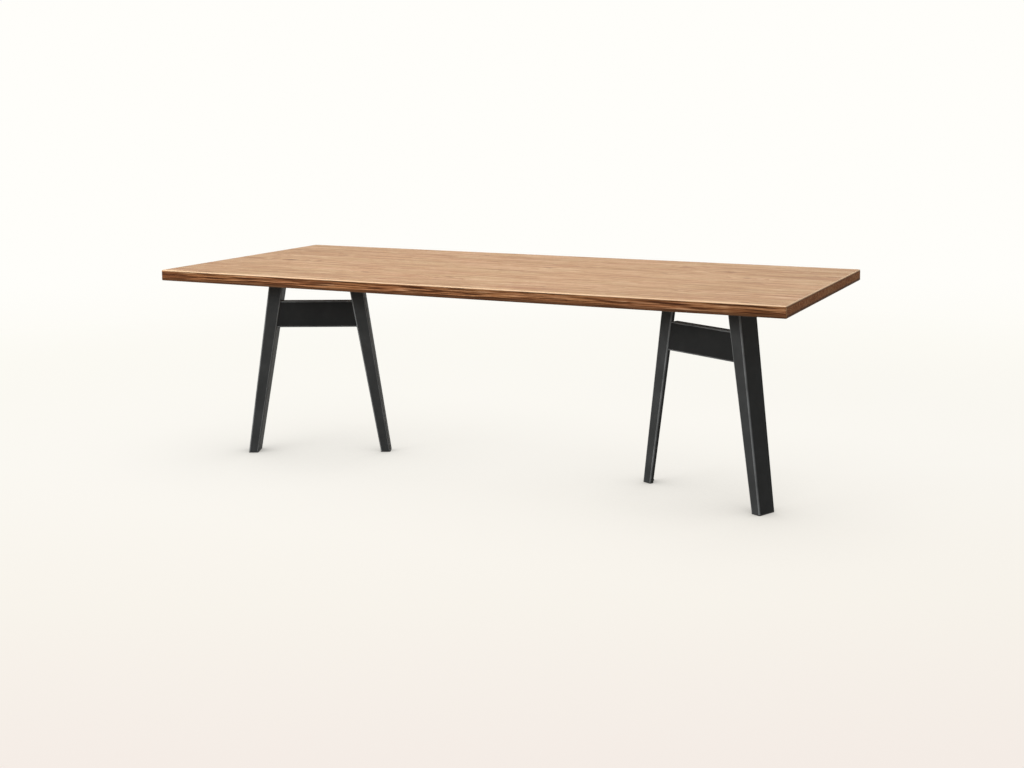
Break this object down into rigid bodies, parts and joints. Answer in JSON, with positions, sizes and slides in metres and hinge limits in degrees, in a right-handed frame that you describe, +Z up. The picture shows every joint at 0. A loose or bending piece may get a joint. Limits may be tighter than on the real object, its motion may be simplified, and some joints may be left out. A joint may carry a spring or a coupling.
{
  "type": "dining table",
  "caption": "Rectangular dining table with a thick solid wood top on black folded-steel trestles, each with splayed tapered legs and a rail.",
  "frame": {"origin": "on the floor under the middle of the tabletop", "axes": "+X along the tabletop's length, +Y from its front to its rear edge, +Z up"},
  "size_m": [2.4, 1, 0.75],
  "materials": {
    "solid_wood_top": "oiled, fine grain along the length, small dark knots",
    "black_powder_coat": "satin black powder coat",
    "black_glide": "matt black",
    "zinc_screw": "zinc plated"
  },
  "bodies": {
    "root": {"top_board_1": "solid_wood_top", "top_board_2": "solid_wood_top", "top_board_3": "solid_wood_top", "top_board_4": "solid_wood_top", "top_board_5": "solid_wood_top", "top_board_6": "solid_wood_top", "top_board_7": "solid_wood_top", "top_board_8": "solid_wood_top", "left_trestle_front_leg": "black_powder_coat", "left_trestle_rear_leg": "black_powder_coat", "left_trestle_rail": "black_powder_coat", "left_trestle_bearing_plate": "black_powder_coat", "left_trestle_front_glide": "black_glide", "left_trestle_rear_glide": "black_glide", "left_trestle_screws": "zinc_screw", "right_trestle_front_leg": "black_powder_coat", "right_trestle_rear_leg": "black_powder_coat", "right_trestle_rail": "black_powder_coat", "right_trestle_bearing_plate": "black_powder_coat", "right_trestle_front_glide": "black_glide", "right_trestle_rear_glide": "black_glide", "right_trestle_screws": "zinc_screw"}
  },
  "joints": []
}
